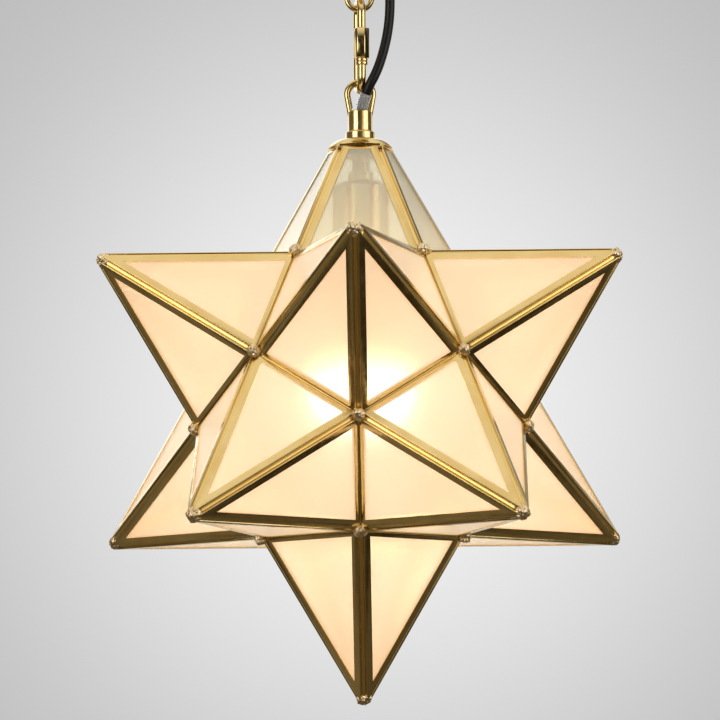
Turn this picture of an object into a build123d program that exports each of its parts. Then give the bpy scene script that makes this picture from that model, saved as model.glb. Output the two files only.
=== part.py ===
from build123d import *
import os
from math import atan, cos, degrees, radians, sin, sqrt, tan

# A star pendant light: twelve five-sided points of framed frosted glass, hung by a loop, a quick link
# and a short chain under a ceiling canopy. Sizes are in millimetres. Heights are worked out from the
# star's centre upwards, and every piece is then lowered so that the ceiling is the plane z = 0.
# The photographed front of the star faces -Y.

# Star of framed panes
TIP_RADIUS = 184.0           # star's centre to the sharp corner that the panes of one point run up to
TOP_CUT = 34.0               # length cut off the top point, where the cap sits
CAME_THICKNESS = 3.2         # across both flanges of the U-shaped brass channel round each pane
CAME_FLANGE = 4.2            # width of a channel's flanges beside the ridges
FOOT_FLANGE = 2.9            # the same along the valleys
HEAD_FLANGE = 2.4            # the same along the cut under the cap
CAME_WALL = 0.5
GLASS_PLAY = 0.1             # between a pane and the inside of its channel, each side
SEAM = 0.3                   # between the channels of two panes that meet
TIP_SOLDER_RADIUS = 4.2
TIP_SOLDER_PROUD = 0.7       # how far the drop on a tip stands past the channels' ends
VALLEY_SOLDER_RADIUS = 3.4

# Hinged rear point that opens for the bulb
DOOR_SOLDER_GAP = 0.25       # from the joint plane to the solder on each side of it
WEDGE_NEAR_SHARE = 0.8       # ends of the wedge that parts the solder, as shares of the base's height
WEDGE_FAR_SHARE = 1.2
KNUCKLE_RADIUS = 1.6
KNUCKLE_LENGTH = 7.0         # of each of the two fixed knuckles
HINGE_LENGTH = 24.0
HINGE_GAP = 0.15             # from a knuckle to the channel of the other side, and between knuckles
HINGE_PIN_RADIUS = 0.8
HINGE_PIN_PLAY = 0.05
PIN_HEAD_RADIUS = 1.3
PIN_HEAD_LENGTH = 0.8
FOOT_BACK = 0.6              # solder foot of a knuckle, behind its axis
FOOT_FRONT = 1.4

# Cap, threaded nipple and hanging loop, used at the star and again at the canopy
PLATE_THICKNESS = 1.2
PLATE_SETBACK = 0.6          # from the corners of the cut to the corners of the plate
DOME_RADIUS = 18.9
DOME_HEIGHT = 4.8
DOME_TOP_RADIUS = 9.4
DOME_WALL = 1.0
DOME_BULGE = 1.3             # how far the dome's side stands out from a straight cone
NIPPLE_RADIUS = 5.0
NIPPLE_BORE = 3.5
THREAD_PLAY = 0.05
HOLE_PLAY = 0.1
NUT_FLATS = 17.0
NUT_HEIGHT = 4.0
NUT_EDGE = 0.5
COLLAR_RADIUS = 8.7
COLLAR_HEIGHT = 4.7
COLLAR_EDGE = 0.8
BARREL_RADIUS = 7.2
BARREL_HEIGHT = 12.7
BARREL_EDGE = 0.7
MOUTH_FLARE = 0.9            # widening of the bore where the flex leaves the barrel
NIPPLE_IN_BARREL = 5.5
RING_RADIUS = 7.6            # loop's wire centre to the centre of the loop
RING_WIRE = 4.0
RING_RISE = 10.1             # centre of the loop above the barrel
LEG_ON_BARREL = 4.6          # length of the loop's legs that lies along the barrel
RING_SWEEP = 100.0           # degrees each side of the top before the loop's legs run straight

# Lampholder
HOLDER_DROP = 14.0           # from the cut down to the top of the holder's neck
HOLDER_RADIUS = 16.8
HOLDER_WALL = 0.8
HOLDER_NECK_RADIUS = 7.5
HOLDER_NECK_HEIGHT = 5.0
HOLDER_CAP_HEIGHT = 4.0      # from the bottom of the neck to the shell
HOLDER_CAP_WALL = 1.2
HOLDER_CAP_BULGE = 0.8
HOLDER_SHELL_HEIGHT = 59.0
HOLDER_LIP_HEIGHT = 1.5
HOLDER_LIP_RADIUS = 14.4
CORE_PLAY = 0.1
CORE_HEIGHT = 52.0
NIPPLE_IN_HOLDER = 8.0
SCREW_SHELL_RADIUS = 13.4
SCREW_SHELL_WALL = 0.4
SCREW_SHELL_HEIGHT = 26.0
CONTACT_RADIUS = 4.0
CONTACT_HEIGHT = 1.2

# Bulb
BULB_CAP_RADIUS = 13.1
BULB_CAP_WALL = 0.4
BULB_CAP_HEIGHT = 23.0
BULB_FOOT_HEIGHT = 4.0
BULB_FOOT_RADIUS = 5.0
BULB_CONTACT_GAP = 0.3
BULB_NECK_PLAY = 0.1
BULB_NECK_IN_CAP = 9.0
BULB_RADIUS = 30.0
BULB_LENGTH = 83.0           # glass below the cap
BULB_WALL = 0.9

# Chain and quick link
LINK_WIRE = 3.4
LINK_WIDTH = 18.4
LINK_LENGTH = 34.0
QUICK_WIRE = 5.0
QUICK_WIDTH = 21.0
QUICK_LENGTH = 58.0
QUICK_TURN = 10.0            # degrees about the vertical, sleeve leg towards the front
QUICK_GAP = 5.0              # opening in the front leg, closed by the sleeve
SLEEVE_FLATS = 8.0
SLEEVE_LENGTH = 18.3
SLEEVE_PLAY = 0.06
SLEEVE_EDGE = 0.5
SLEEVE_TURN = 14.0           # degrees that the sleeve's flats stand turned about its leg
SLEEVE_OVER_GAP = 1.0        # sleeve's lower end below the opening
BEAD_RADIUS = 3.6
BEAD_HEIGHT = 2.0
BEAD_EDGE = 0.6
BEADS = 2                    # rings under the sleeve
BEAD_RISE = 5.4              # from the lower bow up to the rings
SLEEVE_SEAT = 0.15           # between the rings and the sleeve
WIRE_GAP = 0.3               # between the wires of two links that hang in each other

# Canopy and ceiling bracket
CANOPY_RADIUS = 57.0
CANOPY_HEIGHT = 25.0
CANOPY_FLAT_RADIUS = 27.0
CANOPY_WALL = 1.2
CANOPY_BULGE = 4.5
BRACKET_LENGTH = 100.0
BRACKET_WIDTH = 20.0
BRACKET_STEEL = 2.0
BRACKET_DEPTH = 8.0          # from the ceiling to the top of the lowered middle
BRACKET_MIDDLE = 60.0        # length of the lowered middle
SLOT_SPACING = 80.0
SLOT_LENGTH = 12.0
SLOT_WIDTH = 4.5
NIPPLE_PAST_NUT = 0.5
BLOCK_LENGTH = 18.0
BLOCK_WIDTH = 14.0
BLOCK_HEIGHT = 10.0
BLOCK_HOLE_RADIUS = 1.6
BLOCK_HOLES = 3
BLOCK_FROM_AXIS = 19.0

# Flex
CORD_RADIUS = 2.9
CORD_SHARE = 0.45            # part of the shorter run that a bend takes at each point
TUBE_RADIUS = 3.65           # clear sleeve where the flex leaves the loop
TUBE_PLAY = 0.1
TUBE_START = 14.2            # along the flex from its first point
TUBE_LENGTH = 10.2
CORD_ROUTE = [               # chosen along the photographed flex, from the bottom of the loop's barrel
    (0.0, 0.0, 0.1),
    (0.0, 0.0, 11.4),
    (4.2, -8.8, 23.8),
    (10.1, -9.4, 34.3),
    (13.9, -8.2, 45.6),
    (16.8, -7.2, 58.1),
    (18.3, -7.0, 71.1),
]

# The star's geometry: each point is a five-sided pyramid, twice as high as its base's inner radius.
PHI = (1 + sqrt(5)) / 2
SIDES = 5
STEP = 360 / SIDES
HALF_STEP = STEP / 2
PANE_LEAN = degrees(atan(0.5))          # a pane's normal above the base of its point
HALF_RIDGE = degrees(atan(PHI))         # half of the angle between two panes that meet
HALF_APEX = degrees(atan(tan(radians(HALF_STEP)) / sqrt(SIDES)))   # of a pane's corner at the tip
QUARTER_TURN = 360 / 4
base_height = TIP_RADIUS / sqrt(5)
point_height = TIP_RADIUS - base_height
base_inner = point_height / 2
base_outer = base_inner / cos(radians(HALF_STEP))
slant = point_height * sqrt(5) / 2

half_seam = SEAM / 2 / sin(radians(HALF_RIDGE))
valley_inset = half_seam
ridge_inset = CAME_THICKNESS / PHI + half_seam
cut_height = TIP_RADIUS - TOP_CUT
cut_slant = (cut_height - base_height) / cos(radians(PANE_LEAN))
cut_outer = base_outer * TOP_CUT / point_height

# Heights of what hangs above the star
plate_top = cut_height + PLATE_THICKNESS
dome_top = plate_top + DOME_HEIGHT
barrel_bottom = dome_top + COLLAR_HEIGHT
barrel_top = barrel_bottom + BARREL_HEIGHT
ring_centre = barrel_top + RING_RISE
quick_bottom = ring_centre + RING_RADIUS - RING_WIRE / 2 - WIRE_GAP - QUICK_WIRE
quick_top = quick_bottom + QUICK_LENGTH
lower_bottom = quick_top - QUICK_WIRE - WIRE_GAP - LINK_WIRE
lower_top = lower_bottom + LINK_LENGTH
upper_bottom = lower_top - LINK_WIRE - WIRE_GAP - LINK_WIRE
upper_top = upper_bottom + LINK_LENGTH
canopy_ring_centre = upper_top - LINK_WIRE - WIRE_GAP - RING_WIRE / 2 + RING_RADIUS
canopy_barrel_bottom = canopy_ring_centre + RING_RISE
canopy_bottom = canopy_barrel_bottom + BARREL_HEIGHT + COLLAR_HEIGHT
ceiling = canopy_bottom + CANOPY_HEIGHT
mirror_height = barrel_top + canopy_barrel_bottom

RING_RISE_ANGLE = PANE_LEAN             # of the points around the star, above or below the level
POINTS = {
    # name: (azimuth from the front towards +X, elevation)
    "top": (0, QUARTER_TURN),
    "upper_front": (0, RING_RISE_ANGLE),
    "upper_right": (STEP, RING_RISE_ANGLE),
    "door": (2 * STEP, RING_RISE_ANGLE),
    "upper_rear_left": (-2 * STEP, RING_RISE_ANGLE),
    "upper_left": (-STEP, RING_RISE_ANGLE),
    "lower_front_right": (HALF_STEP, -RING_RISE_ANGLE),
    "lower_right": (STEP + HALF_STEP, -RING_RISE_ANGLE),
    "lower_rear": (2 * STEP + HALF_STEP, -RING_RISE_ANGLE),
    "lower_left": (-STEP - HALF_STEP, -RING_RISE_ANGLE),
    "lower_front_left": (-HALF_STEP, -RING_RISE_ANGLE),
    "bottom": (0, -QUARTER_TURN),
}
DOOR_PANE = 2                # pane of the hinged point that lies along its hinge
FIXED_PANE = 1               # pane of the top point on the other side of the hinge

nodes = {}


def node(name, *shapes):
    nodes[name] = [solid for shape in shapes for solid in shape.solids()]


def direction(azimuth, elevation):
    a, e = radians(azimuth), radians(elevation)
    return Vector(sin(a) * cos(e), -cos(a) * cos(e), sin(e))


def point_frame(name):
    """Location of a point: its Z runs out to the tip and its X towards one corner of the base."""
    azimuth, elevation = POINTS[name]
    if name == "top":
        corner = direction(HALF_STEP, 0)
    elif name == "bottom":
        corner = direction(0, 0)
    elif elevation > 0:
        corner = direction(azimuth, elevation - QUARTER_TURN)
    else:
        corner = direction(azimuth, elevation + QUARTER_TURN)
    return Plane((0, 0, 0), x_dir=corner, z_dir=direction(azimuth, elevation)).location


def pane_frame(index):
    """Location of a pane in its point: X along the base edge, Y up the pane, Z out of its face."""
    turn = radians(HALF_STEP + STEP * index)
    out = Vector(cos(turn), sin(turn), 0)
    lean = radians(PANE_LEAN)
    normal = out * cos(lean) + Vector(0, 0, sin(lean))
    origin = out * base_inner + Vector(0, 0, base_height)
    return Plane(origin, x_dir=(-sin(turn), cos(turn), 0), z_dir=normal).location


def pane_outline(inset, cut=None, foot_inset=None, head_inset=None):
    """Face of a pane, drawn in by an inset on top of the seams. A cut gives the height of a flat top.

    The foot and the flat top have insets of their own where they are given.
    """
    lean = radians(HALF_APEX)
    foot = valley_inset + (inset if foot_inset is None else foot_inset)
    side = ridge_inset + inset

    def half_width(height):
        return (slant - height) * tan(lean) - side / cos(lean)

    corners = [(-half_width(foot), foot), (half_width(foot), foot)]
    if cut is None:
        corners.append((0, slant - side / sin(lean)))
    else:
        head = cut - (inset if head_inset is None else head_inset)
        corners += [(half_width(head), head), (-half_width(head), head)]
    return make_face(Polyline(*corners, close=True))


def slab(outline, depth, thickness):
    return Pos(0, 0, -depth - thickness) * extrude(outline, thickness)


def framed_pane(cut=None):
    """The filled block of a pane, its brass channel, and its glass, in the pane's frame."""
    block = slab(pane_outline(0, cut), 0, CAME_THICKNESS)
    pocket = CAME_THICKNESS - 2 * CAME_WALL
    window = slab(pane_outline(CAME_FLANGE, cut, FOOT_FLANGE, HEAD_FLANGE), 0, CAME_THICKNESS)
    groove = slab(pane_outline(CAME_WALL, cut), CAME_WALL, pocket)
    glass = slab(pane_outline(CAME_WALL + GLASS_PLAY, cut), CAME_WALL + GLASS_PLAY, pocket - 2 * GLASS_PLAY)
    return block, block - window - groove, glass


def star_points():
    whole, cut = framed_pane(), framed_pane(cut_slant)
    for name in POINTS:
        _, came, glass = cut if name == "top" else whole
        frames = [point_frame(name) * pane_frame(i) for i in range(SIDES)]
        node(f"came_{name}", *[frame * came for frame in frames])
        node(f"glass_{name}", *[frame * glass for frame in frames])
    return whole[0]


def corner_frames():
    """Location of each corner of the star's core, with Z out through it, and whether the door has it."""
    found = {}
    for name in POINTS:
        frame = point_frame(name)
        for i in range(SIDES):
            turn = radians(STEP * i)
            reach = Pos(base_outer * cos(turn), base_outer * sin(turn), base_height)
            at = (frame * reach).position
            key = (round(at.X), round(at.Y), round(at.Z))
            tip = Vector(*frame.z_axis.direction)
            spot = Plane((0, 0, 0), x_dir=tip - at.normalized() * tip.dot(at.normalized()), z_dir=at)
            door = name == "door" or found.get(key, (None, False))[1]
            found[key] = (spot.location, door)
    return list(found.values()), sqrt(base_outer**2 + base_height**2)


def door_core(gap):
    """Five-sided wedge from the star's centre through the door's base, grown by a gap on each side."""
    ends = (base_height * WEDGE_NEAR_SHARE, base_height * WEDGE_FAR_SHARE)
    grow = gap / cos(radians(HALF_RIDGE - PANE_LEAN)) / cos(radians(HALF_STEP))
    rings = [Pos(0, 0, h) * RegularPolygon(base_outer * h / base_height + grow, SIDES) for h in ends]
    return point_frame("door") * loft(rings, ruled=True)


def solder_drops(block):
    """Drops on the tips and on the corners of the core, shaped by the channels that they join."""
    reach = ridge_inset / sin(radians(HALF_APEX)) * cos(radians(PANE_LEAN))
    centre = TIP_RADIUS - reach + TIP_SOLDER_PROUD - TIP_SOLDER_RADIUS
    tip = Pos(0, 0, centre) * Sphere(TIP_SOLDER_RADIUS)
    for i in range(SIDES):
        tip -= pane_frame(i) * block

    corners, corner_radius = corner_frames()
    first = corners[0][0]
    drop = first * (Pos(0, 0, corner_radius) * Sphere(VALLEY_SOLDER_RADIUS))
    for name in POINTS:
        for i in range(SIDES):
            pane = point_frame(name) * pane_frame(i) * block
            if drop.distance_to(pane) <= 0:
                drop -= pane
    drop = first.inverse() * drop

    fixed = [point_frame(name) * tip for name in POINTS if name not in ("top", "door")]
    opening = [point_frame("door") * tip]
    wide, narrow = door_core(DOOR_SOLDER_GAP), door_core(-DOOR_SOLDER_GAP)
    swing_room = point_frame("top") * pane_frame(FIXED_PANE) * Pos(0, 0, VALLEY_SOLDER_RADIUS)
    swing_room *= Box(2 * base_outer, 4 * VALLEY_SOLDER_RADIUS, 2 * VALLEY_SOLDER_RADIUS)
    for frame, on_door in corners:
        placed = frame * drop
        if on_door:
            fixed.append(placed - wide - swing_room)
            opening.append(placed & narrow)
        else:
            fixed.append(placed)
    node("solder_star", *fixed)
    node("solder_door", *opening)


def door_hinge():
    """Tube hinge in the valley above the door: two fixed knuckles, one on the door, and a wire pin."""
    out = KNUCKLE_RADIUS + HINGE_GAP
    axis = Pos(0, out / PHI, out) * Rot(0, 90, 0)
    bore = HINGE_PIN_RADIUS + HINGE_PIN_PLAY

    def knuckle(low, high):
        middle, length = (low + high) / 2, high - low
        tube = axis * (Pos(0, 0, middle) * Cylinder(KNUCKLE_RADIUS, length))
        foot = Pos(middle, out / PHI + (FOOT_FRONT - FOOT_BACK) / 2, out / 2)
        foot *= Box(length, FOOT_FRONT + FOOT_BACK, out)
        return tube + foot - axis * (Pos(0, 0, middle) * Cylinder(bore, length))

    half = HINGE_LENGTH / 2
    inner = half - KNUCKLE_LENGTH
    fixed = point_frame("top") * pane_frame(FIXED_PANE)
    door = point_frame("door") * pane_frame(DOOR_PANE)
    node("hinge_knuckles_fixed", fixed * knuckle(-half, -inner), fixed * knuckle(inner, half))
    node("hinge_knuckle_door", door * knuckle(-inner + HINGE_GAP, inner - HINGE_GAP))
    pin = Cylinder(HINGE_PIN_RADIUS, HINGE_LENGTH + 2 * HINGE_GAP)
    for side in (-1, 1):
        pin += Pos(0, 0, side * (half + HINGE_GAP + PIN_HEAD_LENGTH / 2)) * Cylinder(
            PIN_HEAD_RADIUS, PIN_HEAD_LENGTH
        )
    node("hinge_pin", fixed * axis * pin)


def turned(*outline):
    """Solid turned about the vertical axis from the lines and arcs of a half section (radius, height)."""
    section = make_face([edge for part in outline for edge in part.edges()])
    return revolve(Plane.XZ * section, Axis.Z)


def ring_tube(outer, inner, bottom, top):
    tube = Cylinder(outer, top - bottom) - Cylinder(inner, top - bottom)
    return Pos(0, 0, (bottom + top) / 2) * tube


def hex_nut(flats, height, bore, edge):
    prism = extrude(RegularPolygon(flats / 2, 6, major_radius=False), height)
    prism = chamfer(prism.edges().filter_by(Axis.Z, reverse=True), edge)
    return prism - extrude(Circle(bore), height)


def hanging_loop():
    """Threaded barrel with a wire loop on top, its barrel standing on z = 0 and the loop facing -Y."""
    sweep_angle = radians(RING_SWEEP)
    centre = BARREL_HEIGHT + RING_RISE
    end = Vector(RING_RADIUS * sin(sweep_angle), 0, centre + RING_RADIUS * cos(sweep_angle))
    leg_foot = BARREL_HEIGHT - LEG_ON_BARREL
    inward = (end.Z - leg_foot) * tan(sweep_angle - radians(90))
    foot = Vector(end.X - inward, 0, leg_foot)
    left_end, left_foot = Vector(-end.X, 0, end.Z), Vector(-foot.X, 0, foot.Z)
    crown = Vector(0, 0, centre + RING_RADIUS)
    path = Wire([Edge.make_line(left_foot, left_end), Edge.make_three_point_arc(left_end, crown, end),
                 Edge.make_line(end, foot)])
    bail = sweep(Plane(left_foot, z_dir=left_end - left_foot) * Circle(RING_WIRE / 2), path=path)
    barrel = Cylinder(BARREL_RADIUS, BARREL_HEIGHT)
    barrel = chamfer(barrel.edges().filter_by(GeomType.CIRCLE), BARREL_EDGE)
    barrel = Pos(0, 0, BARREL_HEIGHT / 2) * barrel
    bore_height = BARREL_HEIGHT + RING_WIRE / 2
    bore = Pos(0, 0, bore_height / 2) * Cylinder(NIPPLE_RADIUS + THREAD_PLAY, bore_height)
    mouth = Pos(0, 0, BARREL_HEIGHT - MOUTH_FLARE / 2)
    mouth *= Cone(NIPPLE_RADIUS + THREAD_PLAY, NIPPLE_RADIUS + THREAD_PLAY + MOUTH_FLARE, MOUTH_FLARE)
    return barrel + bail - bore - mouth


def collar():
    """Round threaded collar that the loop is tightened against, standing on z = 0."""
    disc = Cylinder(COLLAR_RADIUS, COLLAR_HEIGHT)
    disc = fillet(disc.edges().filter_by(GeomType.CIRCLE), COLLAR_EDGE)
    disc -= Cylinder(NIPPLE_RADIUS + THREAD_PLAY, COLLAR_HEIGHT)
    return Pos(0, 0, COLLAR_HEIGHT / 2) * disc


def dished(hole, flat, rim, height, wall, bulge):
    """Spun brass dish, its flat part on top and its rim on z = 0."""
    outer = [(hole, height), (flat, height), (rim, 0)]
    inner = [(rim - wall, 0), (flat - wall / 2, height - wall), (hole, height - wall)]
    return turned(
        Line(outer[0], outer[1]),
        SagittaArc(outer[1], outer[2], bulge),
        Line(outer[2], inner[0]),
        SagittaArc(inner[0], inner[1], -bulge),
        Line(inner[1], inner[2]),
        Line(inner[2], outer[0]),
    )


def star_cap():
    hole = NIPPLE_RADIUS + HOLE_PLAY
    plate = extrude(RegularPolygon(cut_outer - PLATE_SETBACK, SIDES) - Circle(hole), PLATE_THICKNESS)
    node("top_plate", Pos(0, 0, cut_height) * point_frame("top") * plate)
    dome = dished(hole, DOME_TOP_RADIUS, DOME_RADIUS, DOME_HEIGHT, DOME_WALL, DOME_BULGE)
    node("cap_dome", Pos(0, 0, plate_top) * dome)
    node("loop_collar", Pos(0, 0, dome_top) * collar())
    node("star_loop", Pos(0, 0, barrel_bottom) * hanging_loop())
    nut = hex_nut(NUT_FLATS, NUT_HEIGHT, NIPPLE_RADIUS + THREAD_PLAY, NUT_EDGE)
    node("cap_nut", Pos(0, 0, cut_height - NUT_HEIGHT) * nut)
    low = cut_height - HOLDER_DROP - NIPPLE_IN_HOLDER
    node("star_nipple", ring_tube(NIPPLE_RADIUS, NIPPLE_BORE, low, barrel_bottom + NIPPLE_IN_BARREL))


def lampholder():
    """Turned holder hung on the nipple. Returns the height of its rim and of its centre contact."""
    neck_top = cut_height - HOLDER_DROP
    shoulder = neck_top - HOLDER_NECK_HEIGHT
    shell_top = shoulder - HOLDER_CAP_HEIGHT
    shell_bottom = shell_top - HOLDER_SHELL_HEIGHT
    bore = NIPPLE_RADIUS + THREAD_PLAY
    neck, wide, wall = HOLDER_NECK_RADIUS, HOLDER_RADIUS, HOLDER_CAP_WALL
    cap = turned(
        Line((bore, neck_top), (neck, neck_top)),
        Line((neck, neck_top), (neck, shoulder)),
        SagittaArc((neck, shoulder), (wide, shell_top), HOLDER_CAP_BULGE),
        Line((wide, shell_top), (wide - wall, shell_top)),
        SagittaArc((wide - wall, shell_top), (neck, shoulder - wall), -HOLDER_CAP_BULGE),
        Line((neck, shoulder - wall), (bore, shoulder - wall)),
        Line((bore, shoulder - wall), (bore, neck_top)),
    )
    node("holder_cap", cap)
    core_bottom = shell_bottom + HOLDER_LIP_HEIGHT
    inside = HOLDER_RADIUS - HOLDER_WALL
    shell = ring_tube(HOLDER_RADIUS, inside, core_bottom, shell_top)
    shell += ring_tube(HOLDER_RADIUS, HOLDER_LIP_RADIUS, shell_bottom, core_bottom)
    node("holder_shell", shell)
    screw_top = core_bottom + SCREW_SHELL_HEIGHT
    socket = SCREW_SHELL_RADIUS + SCREW_SHELL_WALL + CORE_PLAY
    block = Pos(0, 0, core_bottom + CORE_HEIGHT / 2) * Cylinder(inside - CORE_PLAY, CORE_HEIGHT)
    block -= Pos(0, 0, core_bottom + SCREW_SHELL_HEIGHT / 2) * Cylinder(socket, SCREW_SHELL_HEIGHT)
    node("holder_core", block)
    node("screw_shell", ring_tube(SCREW_SHELL_RADIUS + SCREW_SHELL_WALL, SCREW_SHELL_RADIUS,
                                  core_bottom, screw_top))
    contact = Cylinder(CONTACT_RADIUS, CONTACT_HEIGHT)
    node("centre_contact", Pos(0, 0, screw_top - CONTACT_HEIGHT / 2) * contact)
    return shell_top, screw_top - CONTACT_HEIGHT


def bulb(contact_height):
    """Screw-in bulb, hanging with its contact just under the holder's."""
    top = contact_height - BULB_CONTACT_GAP
    cap_top = top - BULB_FOOT_HEIGHT
    cap_bottom = cap_top - BULB_CAP_HEIGHT
    cap = ring_tube(BULB_CAP_RADIUS, BULB_CAP_RADIUS - BULB_CAP_WALL, cap_bottom, cap_top)
    cap += ring_tube(BULB_CAP_RADIUS, BULB_FOOT_RADIUS, cap_top - BULB_CAP_WALL, cap_top)
    node("bulb_cap", cap)
    foot = Pos(0, 0, (top + cap_top - BULB_CAP_WALL) / 2)
    foot *= Cylinder(BULB_FOOT_RADIUS, BULB_FOOT_HEIGHT + BULB_CAP_WALL)
    node("bulb_contact", fillet(foot.edges().sort_by(Axis.Z)[-1], BULB_FOOT_RADIUS / 2))
    neck = BULB_CAP_RADIUS - BULB_CAP_WALL - BULB_NECK_PLAY
    neck_top = cap_bottom + BULB_NECK_IN_CAP
    waist = cap_bottom - BULB_NECK_PLAY
    centre = cap_bottom - BULB_LENGTH + BULB_RADIUS
    down = [(0, -1), (0, -1)]

    def skin(inset):
        wide = BULB_RADIUS - inset
        dip = wide * sin(radians(45))
        return (
            Line((neck - inset, neck_top), (neck - inset, waist)),
            Spline((neck - inset, waist), (wide, centre), tangents=down),
            ThreePointArc((wide, centre), (dip, centre - dip), (0, centre - wide)),
        )

    outer, inner = skin(0), skin(BULB_WALL)
    bottom, inner_bottom = centre - BULB_RADIUS, centre - BULB_RADIUS + BULB_WALL
    closed = turned(*outer, Line((0, bottom), (0, inner_bottom)), *inner,
                    Line((neck - BULB_WALL, neck_top), (neck, neck_top)))
    node("bulb_globe", closed)


def wire_link(width, length, wire):
    """Oval link of round wire in the XZ plane, its centre at the origin."""
    radius = (width - wire) / 2
    straight = length - width
    bow = revolve(Pos(radius, 0, 0) * Circle(wire / 2), Axis.Y, 180)
    link = Pos(0, 0, -straight / 2) * bow + Pos(0, 0, straight / 2) * Rot(0, 180, 0) * bow
    for side in (-1, 1):
        link += Pos(side * radius, 0, 0) * Cylinder(wire / 2, straight)
    return link


def chain():
    link = wire_link(LINK_WIDTH, LINK_LENGTH, LINK_WIRE)
    node("chain_link_lower", Pos(0, 0, lower_bottom + LINK_LENGTH / 2) * link)
    node("chain_link_upper", Pos(0, 0, upper_bottom + LINK_LENGTH / 2) * Rot(0, 0, 90) * link)
    place = Pos(0, 0, quick_bottom + QUICK_LENGTH / 2) * Rot(0, 0, QUICK_TURN - 90)
    leg = (QUICK_WIDTH - QUICK_WIRE) / 2
    straight = QUICK_LENGTH - QUICK_WIDTH
    bead_bottom = BEAD_RISE - straight / 2
    sleeve_bottom = bead_bottom + BEADS * BEAD_HEIGHT + SLEEVE_SEAT
    gap_bottom = sleeve_bottom + SLEEVE_OVER_GAP
    opened = wire_link(QUICK_WIDTH, QUICK_LENGTH, QUICK_WIRE)
    opened -= Pos(leg, 0, gap_bottom + QUICK_GAP / 2) * Box(2 * QUICK_WIRE, 2 * QUICK_WIRE, QUICK_GAP)
    bead = Cylinder(BEAD_RADIUS, BEAD_HEIGHT)
    bead = fillet(bead.edges().filter_by(GeomType.CIRCLE), BEAD_EDGE)
    for i in range(BEADS):
        opened += Pos(leg, 0, bead_bottom + (i + 0.5) * BEAD_HEIGHT) * bead
    node("quick_link", place * opened)
    sleeve = hex_nut(SLEEVE_FLATS, SLEEVE_LENGTH, QUICK_WIRE / 2 + SLEEVE_PLAY, SLEEVE_EDGE)
    node("quick_link_sleeve", place * Pos(leg, 0, sleeve_bottom) * Rot(0, 0, SLEEVE_TURN) * sleeve)


def ceiling_set():
    """Canopy, its loop and collar, and the bracket that carries them from the ceiling."""
    hole = NIPPLE_RADIUS + HOLE_PLAY
    dish = dished(hole, CANOPY_FLAT_RADIUS, CANOPY_RADIUS, CANOPY_HEIGHT, CANOPY_WALL, CANOPY_BULGE)
    node("canopy", Pos(0, 0, ceiling) * Rot(180, 0, 0) * dish)
    node("canopy_collar", Pos(0, 0, canopy_bottom - COLLAR_HEIGHT) * collar())
    node("canopy_loop", Pos(0, 0, canopy_barrel_bottom + BARREL_HEIGHT) * Rot(180, 0, 0) * hanging_loop())

    middle_top = ceiling - BRACKET_DEPTH
    ear = (BRACKET_LENGTH - BRACKET_MIDDLE) / 2
    ear_centre = (BRACKET_MIDDLE + ear - BRACKET_STEEL) / 2
    bracket = Pos(0, 0, middle_top - BRACKET_STEEL / 2) * Box(BRACKET_MIDDLE, BRACKET_WIDTH, BRACKET_STEEL)
    for side in (-1, 1):
        web = BRACKET_DEPTH + BRACKET_STEEL
        bracket += Pos(side * (BRACKET_MIDDLE - BRACKET_STEEL) / 2, 0, ceiling - web / 2) * Box(
            BRACKET_STEEL, BRACKET_WIDTH, web
        )
        bracket += Pos(side * ear_centre, 0, ceiling - BRACKET_STEEL / 2) * Box(
            ear + BRACKET_STEEL, BRACKET_WIDTH, BRACKET_STEEL
        )
        slot = extrude(SlotOverall(SLOT_LENGTH, SLOT_WIDTH), BRACKET_STEEL)
        bracket -= Pos(side * SLOT_SPACING / 2, 0, ceiling - BRACKET_STEEL) * slot
    thread_hole = Cylinder(NIPPLE_RADIUS + THREAD_PLAY, BRACKET_STEEL)
    bracket -= Pos(0, 0, middle_top - BRACKET_STEEL / 2) * thread_hole
    node("ceiling_bracket", bracket)
    nut = hex_nut(NUT_FLATS, NUT_HEIGHT, NIPPLE_RADIUS + THREAD_PLAY, NUT_EDGE)
    node("bracket_nut", Pos(0, 0, middle_top) * nut)
    low = canopy_barrel_bottom + BARREL_HEIGHT - NIPPLE_IN_BARREL
    high = middle_top + NUT_HEIGHT + NIPPLE_PAST_NUT
    node("canopy_nipple", ring_tube(NIPPLE_RADIUS, NIPPLE_BORE, low, high))
    block_top = middle_top - BRACKET_STEEL
    block = Box(BLOCK_LENGTH, BLOCK_WIDTH, BLOCK_HEIGHT)
    pitch = BLOCK_LENGTH / BLOCK_HOLES
    for i in range(BLOCK_HOLES):
        x = (i - (BLOCK_HOLES - 1) / 2) * pitch
        block -= Pos(x, 0, 0) * Rot(90, 0, 0) * Cylinder(BLOCK_HOLE_RADIUS, BLOCK_WIDTH)
    node("terminal_block", Pos(BLOCK_FROM_AXIS, 0, block_top - BLOCK_HEIGHT / 2) * block)
    return high


def bend_radii(points):
    """Radius of the bend at each inner point of a route, as large as its two runs allow."""
    radii = []
    for before, here, after in zip(points, points[1:], points[2:]):
        run_in, run_out = here - before, after - here
        turn = radians(run_in.get_angle(run_out))
        radii.append(CORD_SHARE * min(run_in.length, run_out.length) / tan(turn / 2))
    return radii


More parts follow.
